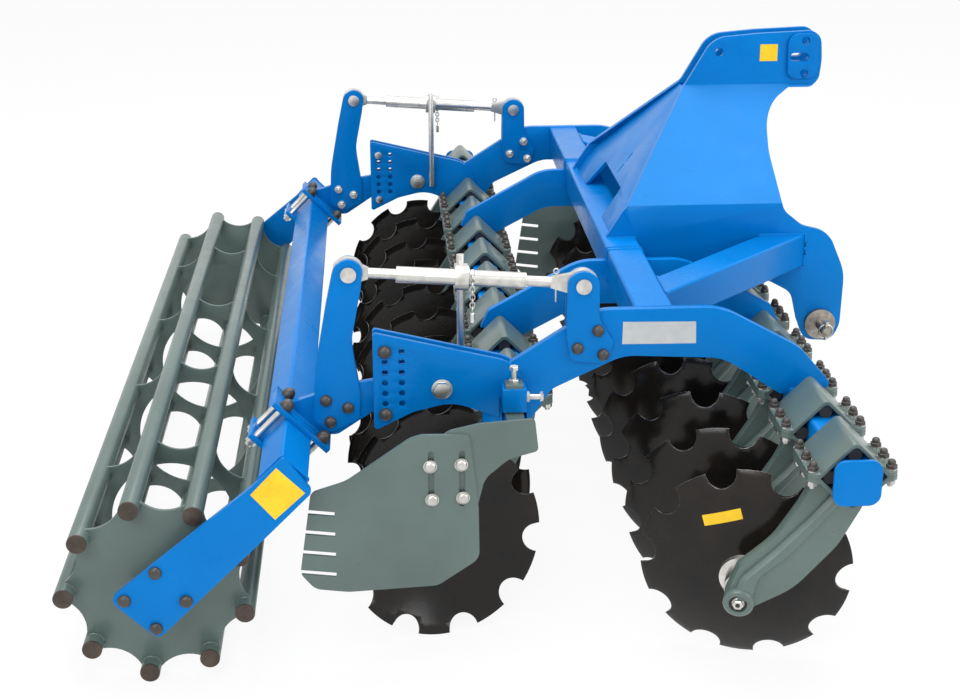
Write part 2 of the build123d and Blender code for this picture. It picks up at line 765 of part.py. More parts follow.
def lever_outline():
    x, z = LEVER_PIN
    return outline(
        (x - 36, z + 20, 28),
        (x, z + 44, 34),
        (x + 37, z + 20, 28),
        (x + 30, z - 40, 60),
        (x + 2, z - 180, 200),
        (x + 22, z - 320, 60),
        (x + 18, z - 388, 15),
        (x - 60, z - 425, 20),
        (x - 98, z - 390, 20),
        (x - 92, z - 260, 300),
        (x - 60, z - 90, 200),
    )


for side in (1, -1):
    arm_plate = slab(roller_arm_outline(), side * SIDE_Y, PLATE - 2 * SIDE_GAP)
    arm_plate -= pin(*PIVOT, side * SIDE_Y - PLATE, side * SIDE_Y + PLATE, PIVOT_DIA + 2 * PIN_CLEARANCE)
    add("roller_arms", [arm_plate])
    lever_off = PLATE / 2 - SIDE_GAP + LEVER_PLATE / 2
    for y in (SIDE_Y + lever_off, SIDE_Y - lever_off):
        lever = slab(lever_outline(), side * y, LEVER_PLATE)
        lever -= pin(*LEVER_PIN, side * y - 20, side * y + 20, SPINDLE_PIN_DIA)
        add("levers", [lever])
    reach = PLATE / 2 - SIDE_GAP + LEVER_PLATE
    low, high = side * SIDE_Y - reach, side * SIDE_Y + reach
    add("lever_pins", [headed_pin(*LEVER_PIN, low, high, SPINDLE_PIN_DIA, PIN_HEAD, PIN_HEAD_DIA)])

tube_half = TUBE_LENGTH / 2
plate_y = tube_half + ROLLER_PLATE_GAP + ROLLER_PLATE / 2
cross_half = plate_y - ROLLER_PLATE / 2
tx, tz = CROSS_TUBE_AT
cross_tube = Pos(tx, 0, tz) * Rot(0, 45, 0) * square_tube(CROSS_TUBE, CROSS_TUBE_WALL, 2 * cross_half)
add("roller_cross_tube", [cross_tube])


def clamp_rods():
    """The four threaded rods of a clamp with their nuts, drawn with the tube's faces square."""
    reach = CROSS_TUBE / 2 + CLAMP_ROD_DIA
    half = CROSS_TUBE / 2 + CLAMP_PLATE
    nut = extrude(RegularPolygon(CLAMP_NUT / 2, 6), amount=CLAMP_NUT_HIGH)
    one = Cylinder(CLAMP_ROD_DIA / 2, 2 * (half + CLAMP_ROD_END))
    one += Pos(0, 0, half) * nut
    one += Pos(0, 0, -half - CLAMP_NUT_HIGH) * nut
    return [Pos(x, y, 0) * one for x in (-reach, reach) for y in (-CLAMP_WIDTH / 3, CLAMP_WIDTH / 3)]


def clamp_plates():
    """The two plates of a clamp, with holes for its rods."""
    off = CROSS_TUBE / 2 + CLAMP_PLATE / 2
    plates = [Pos(0, 0, off) * Box(CLAMP_LENGTH, CLAMP_WIDTH, CLAMP_PLATE)]
    plates.append(Pos(0, 0, -off) * Box(CLAMP_LENGTH * 0.86, CLAMP_WIDTH, CLAMP_PLATE))
    for r in clamp_rods():
        plates = [plate - r for plate in plates]
    return plates


clamp_place = Pos(tx, SIDE_Y, tz) * Rot(0, 45, 0)
for piece in clamp_plates():
    add("roller_clamps", both_sides(clamp_place * piece))
for piece in clamp_rods():
    add("roller_clamp_rods", both_sides(clamp_place * piece))


def side_plate_outline():
    rx, rz = ROLLER_X, ROLLER_Z
    return outline(
        (rx - 108, rz + 6, 22),
        (rx + 6, rz - 108, 22),
        (tx - 42, tz - 142, 20),
        (tx + 72, tz - 28, 16),
        (tx + 4, tz + 66, 8),
        (tx - 74, tz - 10, 20),
    )


roller_side = slab(side_plate_outline(), plate_y, ROLLER_PLATE)
add("roller_side_plates", both_sides(roller_side))
bearing = pin(ROLLER_X, ROLLER_Z, plate_y - ROLLER_PLATE / 2 - 26, plate_y - ROLLER_PLATE / 2, BEARING_DIA)
bearing -= pin(ROLLER_X, ROLLER_Z, plate_y - 60, plate_y, ROLLER_SHAFT_DIA + 2 * PIN_CLEARANCE)
add("roller_bearings", both_sides(bearing))

# Roller: tubes, scalloped end plates and rings
end_y = tube_half - END_PLATE_INSET
tubes = []
caps = []
for k in range(TUBES):
    angle = radians(ROLLER_TURN - 90 + k * 360 / TUBES)
    x = ROLLER_X + TUBE_CIRCLE / 2 * cos(angle)
    z = ROLLER_Z + TUBE_CIRCLE / 2 * sin(angle)
    wall = pin(x, z, -tube_half, tube_half, TUBE_DIA)
    wall -= pin(x, z, -tube_half - 1, tube_half + 1, TUBE_DIA - 2 * TUBE_WALL)
    tubes.append(wall)
    for end in (tube_half, -tube_half - TUBE_CAP):
        caps.append(pin(x, z, end, end + TUBE_CAP, TUBE_DIA))
add("roller_tubes", tubes)
add("roller_tube_caps", caps)


def scalloped(thick, y, inner):
    """A round plate with tube seats and a hollow between each two of them."""
    face = Circle(TUBE_CIRCLE / 2 + SEAT_LIP)
    for k in range(TUBES):
        seat = ROLLER_TURN - 90 + k * 360 / TUBES
        face -= Rot(0, 0, seat) * Pos(TUBE_CIRCLE / 2, 0) * Circle(TUBE_DIA / 2)
        hollow = Pos(TUBE_CIRCLE / 2 + HOLLOW_OFFSET, 0) * Circle(HOLLOW_RADIUS)
        face -= Rot(0, 0, seat + 180 / TUBES) * hollow
    if inner:
        face -= Circle(inner / 2)
    face = Plane.XZ * Pos(ROLLER_X, ROLLER_Z) * face
    return largest(slab(face, y, thick))


shaft_end = plate_y - ROLLER_PLATE / 2 - 1
for side in (1, -1):
    end_plate = scalloped(END_PLATE_THICK, side * end_y, 0)
    stub = pin(ROLLER_X, ROLLER_Z, side * end_y, side * shaft_end, ROLLER_SHAFT_DIA)
    add("roller_end_plates", [end_plate + stub])
ring_step = 2 * end_y / (RINGS + 0.25)
for k in range(RINGS):
    add("roller_rings", [scalloped(RING_THICK, (k - (RINGS - 1) / 2) * ring_step, RING_HOLE)])

# Spindles: the tube turns on the front bracket's pin and the rod slides in it
fx, fz = BRACKET_PIN
rx, rz = LEVER_PIN
span = hypot(rx - fx, rz - fz)
TUBE_START = 145.0
TUBE_END = span - 120.0
ROD_START = TUBE_START + 90.0


def spindle_frame(side):
    """The spindle's own frame, its Z along it from the front pin and its X to the machine's left."""
    direction = Vector(rx - fx, 0, rz - fz)
    return Plane(origin=(fx, side * SIDE_Y, fz), x_dir=(0, 1, 0), z_dir=direction)


def along_spindle(solid, side):
    return spindle_frame(side).location * solid


def eye(bore, z):
    ring = Rot(0, 90, 0) * Cylinder(SPINDLE_EYE_DIA / 2, SPINDLE_EYE_THICK)
    ring -= Rot(0, 90, 0) * Cylinder(bore / 2, 3 * SPINDLE_EYE_THICK)
    return Pos(0, 0, z) * ring


def neck(start, end):
    """The flat taper between an eye and its rod, from the eye's middle to the rod."""
    wide, narrow = 0.42 * SPINDLE_EYE_DIA, SPINDLE_ROD_DIA / 2
    corners = [(-wide, start), (-narrow, end), (narrow, end), (wide, start)]
    taper = Plane.YZ * make_face(Polyline(*corners, close=True).edges())
    taper = extrude(taper, amount=SPINDLE_EYE_THICK / 2, both=True)
    return taper - Pos(0, 0, start) * Rot(0, 90, 0) * Cylinder(SPINDLE_EYE_DIA / 2 - 1, SPINDLE_TUBE_DIA)


for side, name in ((1, "left"), (-1, "right")):
    stud = TUBE_START + STUD_IN_TUBE - FRONT_NECK
    body = Pos(0, 0, FRONT_NECK + stud / 2) * Cylinder(SPINDLE_ROD_DIA / 2, stud)
    body += eye(SPINDLE_PIN_DIA + 2 * PIN_CLEARANCE, 0) + neck(0, FRONT_NECK)
    length = TUBE_END - TUBE_START
    middle = TUBE_START + length / 2
    barrel = Pos(0, 0, middle) * Cylinder(SPINDLE_TUBE_DIA / 2, length)
    bore_length = TUBE_END - TUBE_START - 12
    bore_radius = SPINDLE_ROD_DIA / 2 + SPINDLE_ROD_GAP
    bore = Pos(0, 0, TUBE_END - bore_length / 2) * Cylinder(bore_radius, bore_length)
    body += barrel
    body -= bore
    ratchet = Pos(0, 0, HANDLE_AT) * Cylinder(RATCHET_DIA / 2, RATCHET_WIDTH)
    ratchet -= Pos(0, 0, HANDLE_AT) * Cylinder(SPINDLE_TUBE_DIA / 2 - 1, 2 * RATCHET_WIDTH)
    lug = Pos(-side * HANDLE_SIDE / 2, 0, HANDLE_AT) * Box(HANDLE_SIDE, RATCHET_DIA * 0.7, RATCHET_WIDTH)
    lug -= Pos(0, 0, HANDLE_AT) * Cylinder(SPINDLE_TUBE_DIA / 2 - 1, 2 * RATCHET_WIDTH)
    body += ratchet + lug
    body = along_spindle(body, side)
    frame = spindle_frame(side)
    top = frame.from_local_coords((-side * HANDLE_SIDE, 0, HANDLE_AT))
    handle = Cylinder(HANDLE_DIA / 2, HANDLE_LENGTH)
    handle = Pos(top.X, top.Y, top.Z + HANDLE_ABOVE - HANDLE_LENGTH / 2) * handle
    add(f"spindle_tube_{name}", [body + handle])
    screw_length = span - REAR_NECK - ROD_START
    screw = Pos(0, 0, ROD_START + screw_length / 2) * Cylinder(SPINDLE_ROD_DIA / 2, screw_length)
    screw += eye(SPINDLE_PIN_DIA + 2 * LEVER_EYE_CLEARANCE, span) + neck(span, span - REAR_NECK)
    add(f"spindle_rod_{name}", [along_spindle(screw, side)])

# The origin is under the middle of the whole, so everything moves along X by the same amount.
everything = [s for solids in parts.values() for s in solids]
boxes = [s.bounding_box() for s in everything]
shift = -(min(b.min.X for b in boxes) + max(b.max.X for b in boxes)) / 2
os.makedirs("parts", exist_ok=True)
for name, solids in parts.items():
    moved = [Pos(shift, 0, 0) * s for s in solids]
    node = moved[0] if len(moved) == 1 else Compound(children=moved)
    node.label = name
    export_step(node, f"parts/{name}.step")


def show(name, x, y, z, axis=(0, 1, 0)):
    """Print a place that the record needs, in metres."""
    at = [round(v / 1000, 6) for v in (x + shift, y, z)]
    print("place", name, *at, *[round(v, 6) for v in axis])


for index in range(ARMS_PER_ROW):
    y = -ARM_OUTBOARD + index * PITCH
    o, d = hub_plane.origin, hub_plane.z_dir
    show(f"disc_front_{index + 1:02d}", BEAM_X + o.X, y + o.Y, BEAM_Z + o.Z, (d.X, d.Y, d.Z))
    show(f"disc_rear_{index + 1:02d}", -BEAM_X + o.X, -y - o.Y, BEAM_Z + o.Z, (d.X, -d.Y, d.Z))
show("roller_frame", PIVOT[0], 0, PIVOT[1])
show("roller", ROLLER_X, 0, ROLLER_Z)
show("lever_pin", rx, SIDE_Y, rz)
show("bracket_pin", fx, SIDE_Y, fz)
show("lower_pin", LOWER_PIN_X, MAST_LOW_Y + MAST_PLATE / 2 + LOWER_FLANGE_THICK, LOWER_PIN_Z)
show("top_link", LINK_X, MAST_TOP_Y + MAST_PLATE / 2 + CHEEK_THICK, LINK_Z)
print("shift", round(shift, 3))
print("box", [round(v, 1) for v in (min(b.min.Y for b in boxes), max(b.max.Y for b in boxes))])
print("floor", round(min(b.min.Z for b in boxes), 3), "top", round(max(b.max.Z for b in boxes), 3))
print("nodes", len(parts))
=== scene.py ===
import json
import math

import bpy
from mathutils import Matrix, Vector, noise


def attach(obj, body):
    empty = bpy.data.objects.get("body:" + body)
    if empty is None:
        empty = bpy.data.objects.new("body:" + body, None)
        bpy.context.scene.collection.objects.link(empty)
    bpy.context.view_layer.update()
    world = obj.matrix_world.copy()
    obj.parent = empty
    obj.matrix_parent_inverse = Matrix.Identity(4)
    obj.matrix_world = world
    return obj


# The looks of a mounted disc harrow. Everything is in metres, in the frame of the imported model:
# X forward, Y to the machine's left, Z up.
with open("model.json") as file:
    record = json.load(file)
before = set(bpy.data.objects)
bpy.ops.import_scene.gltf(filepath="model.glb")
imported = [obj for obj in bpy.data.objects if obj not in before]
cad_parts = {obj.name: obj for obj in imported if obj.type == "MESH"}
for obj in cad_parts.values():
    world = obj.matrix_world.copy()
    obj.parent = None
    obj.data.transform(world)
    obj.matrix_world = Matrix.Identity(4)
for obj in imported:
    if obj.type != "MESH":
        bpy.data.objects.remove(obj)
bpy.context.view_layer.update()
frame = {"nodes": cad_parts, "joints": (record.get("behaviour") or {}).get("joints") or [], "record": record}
nodes = frame["nodes"]
record = frame["record"]
joints = {j["name"]: j for j in frame["joints"]}

# Driving dimensions, as in the solids. X counts from midway between the two beams here.
PIVOT_X = -0.567
MIDDLE_X = joints["roller_lift"]["pos_m"][0] - PIVOT_X
PITCH = 0.27
ARMS_PER_ROW = 10
BEAM_X = 0.38
BEAM_Z = 0.615
SIDE_Y = 1.08
PLATE = 0.025
SIDE_OUTER = SIDE_Y + PLATE / 2
SIDE_INNER = SIDE_Y - PLATE / 2
LEVER_PLATE = 0.012
SIDE_GAP = 0.002
ARM_OUTBOARD = SIDE_Y + 1.5 * PITCH
FLANGE = 0.012
CLAMP_BOLT_X = 0.094
CLAMP_BOLT_STEP = 0.066
DEFLECTOR_Y = 1.3
DEFLECTOR_THICK = 0.008
ROLLER_SIDE_FACE = 1.389
ROLLER_SIDE_BACK = 1.374
TUBES = 9
TUBE_CIRCLE = 0.458
TUBE_RADIUS = 0.025
ROLLER_TURN = math.radians(-7)
DISC_RADIUS = 0.27
DISH_RADIUS = 0.6
DISH_DEPTH = DISH_RADIUS - math.sqrt(DISH_RADIUS**2 - DISC_RADIUS**2)


def at(x, y, z):
    """A point whose X counts from midway between the beams."""
    return Vector((x + MIDDLE_X, y, z))


# Finishes
def new_material(name):
    material = bpy.data.materials.new(name)
    material.use_nodes = True
    tree = material.node_tree
    return material, tree, tree.nodes["Principled BSDF"]


def noise_node(tree, scale, detail=4.0, stretch=(1, 1, 1), roughness=0.5):
    """A noise in the piece's own coordinates, stretched along each axis."""
    where = tree.nodes.new("ShaderNodeTexCoord")
    mapping = tree.nodes.new("ShaderNodeMapping")
    mapping.inputs["Scale"].default_value = stretch
    tree.links.new(where.outputs["Object"], mapping.inputs["Vector"])
    texture = tree.nodes.new("ShaderNodeTexNoise")
    texture.inputs["Scale"].default_value = scale
    texture.inputs["Detail"].default_value = detail
    texture.inputs["Roughness"].default_value = roughness
    tree.links.new(mapping.outputs["Vector"], texture.inputs["Vector"])
    return texture.outputs["Fac"]


def ramp(tree, value, stops):
    """Colours or greys at places along the value."""
    node = tree.nodes.new("ShaderNodeValToRGB")
    elements = node.color_ramp.elements
    while len(elements) < len(stops):
        elements.new(0.5)
    for element, (place, colour) in zip(elements, stops):
        element.position = place
        element.color = (*colour, 1) if len(colour) == 3 else (colour[0],) * 3 + (1,)
    tree.links.new(value, node.inputs["Fac"])
    return node.outputs["Color"]


def bump(tree, shader, height, strength, distance):
    node = tree.nodes.new("ShaderNodeBump")
    node.inputs["Strength"].default_value = strength
    node.inputs["Distance"].default_value = distance
    tree.links.new(height, node.inputs["Height"])
    tree.links.new(node.outputs["Normal"], shader.inputs["Normal"])


def paint(name, colour, roughness=0.36, coat=0.08, peel=0.05, uneven=0.05, shine=0.25, tint=(1, 1, 1)):
    """Sprayed paint: a little uneven in colour and gloss, with a fine orange peel."""
    material, tree, shader = new_material(name)
    low = tuple(c * (1 - uneven) for c in colour)
    high = tuple(min(1, c * (1 + uneven)) for c in colour)
    cloud = noise_node(tree, 5.0)
    tree.links.new(ramp(tree, cloud, [(0.3, low), (0.7, high)]), shader.inputs["Base Color"])
    gloss = noise_node(tree, 14.0, 3.0)
    rough = ramp(tree, gloss, [(0.3, (roughness * 0.85,)), (0.7, (roughness * 1.2,))])
    tree.links.new(rough, shader.inputs["Roughness"])
    shader.inputs["Specular IOR Level"].default_value = shine
    shader.inputs["Specular Tint"].default_value = (*tint, 1)
    shader.inputs["Coat Weight"].default_value = coat
    shader.inputs["Coat Roughness"].default_value = 0.12
    bump(tree, shader, noise_node(tree, 260.0, 2.0), peel, 0.002)
    return material


def metal(name, dark, light, roughness, scale=40.0, metallic=1.0, stretch=(1, 1, 1)):
    """Bare or plated steel with a cloudy, slightly brushed surface."""
    material, tree, shader = new_material(name)
    cloud = noise_node(tree, scale, 5.0, stretch)
    tree.links.new(ramp(tree, cloud, [(0.3, dark), (0.7, light)]), shader.inputs["Base Color"])
    rough = ramp(tree, cloud, [(0.3, (roughness * 1.25,)), (0.7, (roughness * 0.8,))])
    tree.links.new(rough, shader.inputs["Roughness"])
    shader.inputs["Metallic"].default_value = metallic
    bump(tree, shader, noise_node(tree, 350.0, 3.0, stretch), 0.08, 0.001)
    return material


def plastic(name, dark, light, roughness, grain=0.15):
    material, tree, shader = new_material(name)
    cloud = noise_node(tree, 30.0)
    tree.links.new(ramp(tree, cloud, [(0.3, dark), (0.7, light)]), shader.inputs["Base Color"])
    shader.inputs["Roughness"].default_value = roughness
    bump(tree, shader, noise_node(tree, 500.0, 2.0), grain, 0.001)
    return material


def disc_material():
    """Black lacquer over rolled steel, with warm dull patches and faint streaks."""
    material, tree, shader = new_material("disc_lacquer")
    patches = noise_node(tree, 7.0, 5.0, roughness=0.6)
    colour = ramp(tree, patches, [(0.35, (0.006, 0.006, 0.006)), (0.75, (0.02, 0.014, 0.01))])
    tree.links.new(colour, shader.inputs["Base Color"])
    rough = ramp(tree, noise_node(tree, 11.0, 4.0), [(0.3, (0.12,)), (0.75, (0.24,))])
    tree.links.new(rough, shader.inputs["Roughness"])
    shader.inputs["Specular IOR Level"].default_value = 0.28
    bump(tree, shader, noise_node(tree, 120.0, 3.0), 0.08, 0.002)
    return material


BLUE = (0.0, 0.165, 0.52)
GREY = (0.092, 0.135, 0.122)
blue = paint("blue_enamel", BLUE, roughness=0.3, coat=0.04, shine=0.2, tint=(0.35, 0.8, 1))
grey = paint("grey_enamel", GREY, roughness=0.32, coat=0.12, uneven=0.1, shine=0.5)
black = disc_material()
zinc = metal("zinc_plate", (0.5, 0.49, 0.46), (0.74, 0.73, 0.7), 0.32)
rubber = plastic("rubber", (0.012, 0.01, 0.009), (0.03, 0.026, 0.022), 0.6)
cap_plastic = plastic("cap_plastic", (0.035, 0.03, 0.026), (0.06, 0.053, 0.047), 0.38)
plug = plastic("tube_plug", (0.028, 0.018, 0.012), (0.075, 0.05, 0.036), 0.55)
turned = metal("turned_steel", (0.24, 0.215, 0.19), (0.42, 0.39, 0.35), 0.38, scale=90.0)
worn = metal("worn_edge", (0.2, 0.195, 0.19), (0.5, 0.49, 0.47), 0.34, scale=60.0)
yellow = plastic("yellow_film", (0.85, 0.5, 0.0), (0.95, 0.6, 0.005), 0.35, grain=0.03)
silver_film = plastic("silver_film", (0.42, 0.44, 0.45), (0.5, 0.52, 0.53), 0.4, grain=0.03)

FINISHES = {
    "blue_paint": blue,
    "grey_paint": grey,
    "black_steel": black,
    "zinc_steel": zinc,
    "black_rubber": rubber,
    "dark_plug": plug,
}


# Smoothing that every piece shares
SHARP_ANGLE = math.radians(32)
BEVEL_ANGLE = math.radians(38)
WELD_DISTANCE = 0.00002
EDGE_WIDTH = 0.0016


def smooth_group():
    """Nodes that shade a mesh smooth except at its sharp edges."""
    group = bpy.data.node_groups.new("smooth_by_angle", "GeometryNodeTree")
    group.interface.new_socket("Geometry", in_out="INPUT", socket_type="NodeSocketGeometry")
    group.interface.new_socket("Geometry", in_out="OUTPUT", socket_type="NodeSocketGeometry")
    first = group.nodes.new("NodeGroupInput")
    last = group.nodes.new("NodeGroupOutput")
    faces = group.nodes.new("GeometryNodeSetShadeSmooth")
    edges = group.nodes.new("GeometryNodeSetShadeSmooth")
    edges.domain = "EDGE"
    edges.inputs["Shade Smooth"].default_value = False
    angle = group.nodes.new("GeometryNodeInputMeshEdgeAngle")
    over = group.nodes.new("FunctionNodeCompare")
    over.operation = "GREATER_THAN"
    over.inputs["B"].default_value = SHARP_ANGLE
    link = group.links.new
    link(first.outputs[0], faces.inputs["Geometry"])
    link(faces.outputs[0], edges.inputs["Geometry"])
    link(angle.outputs["Unsigned Angle"], over.inputs["A"])
    link(over.outputs["Result"], edges.inputs["Selection"])
    link(edges.outputs[0], last.inputs[0])
    return group


SMOOTH = smooth_group()


def soften(obj, width, segments=2):
    """Round the edges of a CAD node a little, with modifiers only."""
    with bpy.context.temp_override(object=obj, active_object=obj, selected_objects=[obj]):
        if obj.data.has_custom_normals:
            bpy.ops.mesh.customdata_custom_splitnormals_clear()
    weld = obj.modifiers.new("weld", "WELD")
    weld.merge_threshold = WELD_DISTANCE
    if width:
        bevel = obj.modifiers.new("bevel", "BEVEL")
        bevel.width = width
        bevel.segments = segments
        bevel.limit_method = "ANGLE"
        bevel.angle_limit = BEVEL_ANGLE
    modifier = obj.modifiers.new("smooth", "NODES")
    modifier.node_group = SMOOTH


slots = {s["node"]: s["material_slot"] for s in record["subparts"]}
OWN_FINISHES = {"lower_hitch_pins": turned, "pivot_bolts": zinc}
EDGE_WIDTHS = {"rubber_rods": 0, "roller_tube_caps": 0.002, "top_link_cheeks": 0.001}
for name, obj in nodes.items():
    obj.data.materials.clear()
    obj.data.materials.append(OWN_FINISHES.get(name, FINISHES[slots[name]]))
    soften(obj, EDGE_WIDTHS.get(name, EDGE_WIDTH))


# The hubs are bright, on the lacquered discs
HUB_FLANGE_RADIUS = 0.059
HUB_FLANGE = 0.012
HUB_LENGTH = 0.048
HUB_GAP = 0.005
BOSS_LENGTH = 0.065
BOSS_RECESS = 0.007
HUB_MARGIN = 0.001
BOSS_FLOOR = DISH_DEPTH + HUB_FLANGE + HUB_LENGTH + HUB_GAP + BOSS_LENGTH - BOSS_RECESS


def brighten_hub(disc, joint):
    """Plate the faces of the hub, which stand off the dish near its axis, and wear the edges."""
    disc.data.materials.append(zinc)
    disc.data.materials.append(worn)
    disc.modifiers["bevel"].material = 2
    rim, axis = Vector(joint["pos_m"]), Vector(joint["axis"]).normalized()
    for face in disc.data.polygons:
        arm = disc.matrix_world @ face.center - rim
        height = arm.dot(axis)
        off = (arm - axis * height).length
        if height > DISH_DEPTH - HUB_MARGIN and off < HUB_FLANGE_RADIUS + HUB_MARGIN:
            face.material_index = 1


disc_joints = {name[: -len("_spin")]: joint for name, joint in joints.items() if name.startswith("disc_")}
for name, joint in disc_joints.items():
    brighten_hub(nodes[name], joint)


# Mesh tools
def lathe(profile, sides=20):
    """Points and faces of a closed turned shape from radius and height pairs, bottom to top."""
    points, faces = [], []
    for radius, height in profile:
        for k in range(sides):
            a = 2 * math.pi * k / sides
            points.append((radius * math.cos(a), radius * math.sin(a), height))
    for row in range(len(profile) - 1):
        for k in range(sides):
            a, b = row * sides + k, row * sides + (k + 1) % sides
            faces.append((a, b, b + sides, a + sides))
    faces.append(tuple(reversed(range(sides))))
    top = (len(profile) - 1) * sides
    faces.append(tuple(range(top, top + sides)))
    return points, faces


def prism(sides, across_flats, low, high, edge=0.0):
    """A hexagon or other prism, with its top edge cut back a little."""
    radius = across_flats / 2 / math.cos(math.pi / sides)
    profile = [(radius, low), (radius, high - edge)]
    if edge:
        profile.append((radius - edge * 1.6, high))
    return lathe(profile, sides)


def domed(radius, low, height, collar=0.3, steps=5):
    """A domed cap: a short straight collar and a rounded top."""
    profile = [(radius, low), (radius, low + height * collar)]
    rise = height * (1 - collar)
    for k in range(1, steps + 1):
        a = math.pi / 2 * k / (steps + 0.35)
        profile.append((radius * math.cos(a), low + height * collar + rise * math.sin(a)))
    return lathe(profile, 18)


def ring(circle, radius, sides=24, around=6):
    """A torus in the XY plane."""
    points, faces = [], []
    for i in range(sides):
        a = 2 * math.pi * i / sides
        for j in range(around):
            b = 2 * math.pi * j / around
            out = circle + radius * math.cos(b)
            points.append((out * math.cos(a), out * math.sin(a), radius * math.sin(b)))
    for i in range(sides):
        for j in range(around):
            a, b = i * around + j, i * around + (j + 1) % around
            c, d = ((i + 1) % sides) * around + (j + 1) % around, ((i + 1) % sides) * around + j
            faces.append((a, d, c, b))
    return points, faces


def bead(start, end, radius, seed=0.0, around=6):
    """A weld bead: a thin bar with a rippled surface, between two points."""
    return bead_along([start, end], radius, seed, around)


def bead_along(corners, radius, seed=0.0, around=6):
    """A rippled bead through several points, closed in itself at both ends."""
    line = []
    for a, b in zip(corners, corners[1:]):
        count = max(1, int((b - a).length / (radius * 1.3)))
        line += [a.lerp(b, k / count) for k in range(count)]
    line.append(corners[-1])
    points, faces = [], []
    for i, place in enumerate(line):
        ahead = line[min(i + 1, len(line) - 1)] - line[max(i - 1, 0)]
        turn = ahead.to_track_quat("Z", "Y").to_matrix()
        ripple = 0.92 + 0.16 * (i % 2) + 0.25 * noise.noise(place * 60 + Vector((seed, 0, 0)))
        if i in (0, len(line) - 1):
            ripple *= 0.4
        for j in range(around):
            b = 2 * math.pi * j / around
            points.append(place + turn @ Vector((math.cos(b), math.sin(b), 0)) * (radius * ripple))
    for i in range(len(line) - 1):
        for j in range(around):
            a, b = i * around + j, i * around + (j + 1) % around
            faces.append((a, b, b + around, a + around))
    faces.append(tuple(reversed(range(around))))
    faces.append(tuple(range(len(points) - around, len(points))))
    return points, faces


def facing(place, direction, spin=0.0):
    """The matrix that puts a shape's Z along a direction at a place."""
    turn = Vector(direction).to_track_quat("Z", "Y").to_matrix().to_4x4()
    return Matrix.Translation(place) @ turn @ Matrix.Rotation(spin, 4, "Z")


class Piece:
    """Collects shapes for one object. Each shape carries the number of its material."""

    def __init__(self):
        self.points = []
        self.faces = []
        self.materials = []

    def add(self, shape, matrix=Matrix(), material=0):
        points, faces = shape
        start = len(self.points)
        self.points += [matrix @ Vector(p) for p in points]
        self.faces += [tuple(start + i for i in face) for face in faces]
        self.materials += [material] * len(faces)

    def make(self, name, body, materials):
        mesh = bpy.data.meshes.new(name)
        mesh.from_pydata(self.points, [], self.faces)
        for material in materials:
            mesh.materials.append(material)
        mesh.polygons.foreach_set("material_index", self.materials)
        mesh.update()
        obj = bpy.data.objects.new(name, mesh)
        bpy.context.scene.collection.objects.link(obj)
        modifier = obj.modifiers.new("smooth", "NODES")
        modifier.node_group = SMOOTH
        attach(obj, body)
        return obj


def add_capped_bolt(piece, place, direction, spin, dark=1, bright=0):
    """A washer, a nut and a dark domed cap, as on the clamps."""
    matrix = facing(place, direction, spin)
    piece.add(lathe([(0.0145, 0), (0.0145, 0.0026)], 20), matrix, bright)
    piece.add(prism(6, 0.0235, 0.0026, 0.012, 0.0012), matrix, dark)
    piece.add(domed(0.0098, 0.012, 0.013, 0.35), matrix, dark)


def add_nut(piece, place, direction, spin, flats=0.022, bright=0):
    """A washer, a nut and the end of the bolt."""
    matrix = facing(place, direction, spin)
    piece.add(lathe([(flats * 0.62, 0), (flats * 0.62, 0.0025)], 20), matrix, bright)
    piece.add(prism(6, flats, 0.0025, 0.0145, 0.0012), matrix, bright)
    piece.add(lathe([(flats * 0.3, 0.0145), (flats * 0.3, 0.02), (flats * 0.25, 0.021)], 14), matrix, bright)


def add_dome(piece, place, direction, radius=0.0155, height=0.014, material=0, washer=None):
    """A domed head, on a washer where one shows."""
    matrix = facing(place, direction)
    low = 0.0
    if washer is not None:
        piece.add(lathe([(radius * 1.18, 0), (radius * 1.18, 0.002)], 22), matrix, washer)
        low = 0.002
    piece.add(domed(radius, low, height, 0.25), matrix, material)


# Bolts of the clamps, three in each flange
def row_places(row):
    """The middle of each clamp on the front row, 1, or on the rear row, -1."""
    for index in range(ARMS_PER_ROW):
        yield index, at(row * BEAM_X, row * (index * PITCH - ARM_OUTBOARD), BEAM_Z)


clamp_bolts = Piece()
for row in (1, -1):
    for index, middle in row_places(row):
        for x in (-CLAMP_BOLT_X, CLAMP_BOLT_X):
            for step in (-1, 0, 1):
                spin = (index * 7 + step * 3 + x * 40) % math.pi
                place = middle + Vector((x, step * CLAMP_BOLT_STEP, 0))
                add_capped_bolt(clamp_bolts, place + Vector((0, 0, FLANGE)), (0, 0, 1), spin)
                add_nut(clamp_bolts, place - Vector((0, 0, FLANGE)), (0, 0, -1), spin)
clamp_bolts.make("clamp_bolts", "frame", [zinc, cap_plastic])

# Bolts of the frame's plates, dark caps outside and bright nuts inside
BRACKET_BOLTS = ((-0.168, 0.831), (-0.220, 0.785), (-0.154, 0.766))
LEVER_BOLTS = ((-0.864, 0.658), (-0.808, 0.637), (-0.854, 0.599))


def plate_bolts(name, body, bolts, outer, inner):
    piece = Piece()
    for side in (1, -1):
        for count, (x, z) in enumerate(bolts):
            add_dome(piece, at(x, side * outer, z), (0, side, 0), material=1)
            add_nut(piece, at(x, side * inner, z), (0, -side, 0), count, 0.024)
    piece.make(name, body, [zinc, cap_plastic])


plate_bolts("bracket_bolts", "frame", BRACKET_BOLTS, SIDE_OUTER + LEVER_PLATE, SIDE_INNER - LEVER_PLATE)
lever_outer = SIDE_OUTER - SIDE_GAP + LEVER_PLATE
lever_inner = SIDE_INNER + SIDE_GAP - LEVER_PLATE
plate_bolts("lever_bolts", "roller_frame", LEVER_BOLTS, lever_outer, lever_inner)

